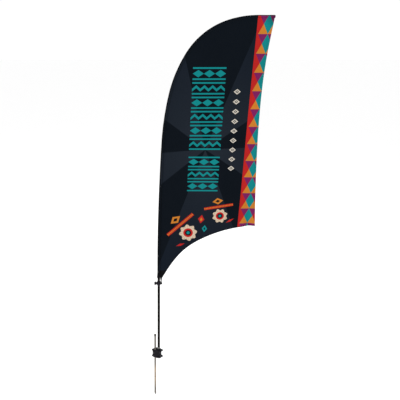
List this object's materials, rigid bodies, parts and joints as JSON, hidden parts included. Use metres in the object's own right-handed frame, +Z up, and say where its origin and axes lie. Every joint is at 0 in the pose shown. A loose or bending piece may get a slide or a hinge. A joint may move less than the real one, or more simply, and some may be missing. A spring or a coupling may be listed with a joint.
{
  "type": "feather flag",
  "caption": "Tall fabric flag with a hollowed free edge on a bent plug-together pole, turning on a spindle clamped to a ground spike.",
  "frame": {"origin": "on the ground spike's axis, level with the bracket's underside, where the ground comes", "axes": "+Z up along the spike, +X from the spike to the pole and on to the flag's free edge, +Y square to the flag"},
  "size_m": [0.6395, 0.045, 2.439],
  "materials": {
    "black_pole": "satin",
    "tip_rod": "satin",
    "ferrule": "satin",
    "spike_steel": "satin",
    "spike_cap_steel": "matte",
    "spindle_steel": "satin",
    "zinc": "satin",
    "black_moulding": "matte",
    "grey_nylon": "satin",
    "brass_insert": "satin",
    "nickel": "satin",
    "printed_fabric": "matte",
    "hem_fabric": "matte",
    "sleeve_fabric": "matte",
    "webbing": "matte",
    "elastic": "matte"
  },
  "bodies": {
    "ground_spike": {"spike_rod": "spike_steel", "spike_cap": "spike_cap_steel"},
    "bracket": {"bracket_front_half": "black_moulding", "bracket_rear_half": "black_moulding", "clamp_bolts": "zinc", "clamp_washers": "zinc", "clamp_nuts": "zinc", "spindle": "spindle_steel", "spindle_clip": "zinc", "thrust_washer": "zinc"},
    "rotator": {"rotator_sleeve": "grey_nylon"},
    "pole": {"pole_lower_tube": "black_pole", "pole_middle_tube": "black_pole", "pole_upper_tube": "black_pole", "pole_tip_rod": "tip_rod", "pole_tip_cap": "black_moulding", "lower_ferrule": "ferrule", "middle_ferrule": "ferrule", "upper_ferrule": "ferrule", "pole_sleeve": "sleeve_fabric", "tip_pocket": "webbing", "flag_panel": "printed_fabric", "free_edge_hem": "hem_fabric", "bottom_hem": "hem_fabric", "corner_patch": "webbing", "corner_tab": "webbing", "corner_grommet": "nickel", "grommet_washer": "nickel"},
    "collar": {"tension_collar": "black_moulding", "collar_insert": "brass_insert", "strap_post": "black_moulding", "tension_loop": "elastic"},
    "knob": {"thumb_knob": "black_moulding", "knob_stud": "zinc"}
  },
  "joints": [
    {"name": "bracket_height", "type": "slide", "parent": "ground_spike", "child": "bracket", "axis": [0, 0, 1], "range_m": [0, 0.1]},
    {"name": "flag_spin", "type": "hinge", "parent": "bracket", "child": "rotator", "pos_m": [0.024, 0, 0.07], "axis": [0, 0, 1], "continuous": true},
    {"name": "pole_lift", "type": "slide", "parent": "rotator", "child": "pole", "axis": [0, 0, 1], "range_m": [0, 0.08]},
    {"name": "collar_slide", "type": "slide", "parent": "pole", "child": "collar", "axis": [0, 0, 1], "range_m": [-0.006, 0.008], "deforming": ["tension_loop"]},
    {"name": "knob_turn", "type": "hinge", "parent": "collar", "child": "knob", "pos_m": [0.003, 0, 0.56], "axis": [-1, 0, 0], "range_deg": [-360, 0]}
  ]
}
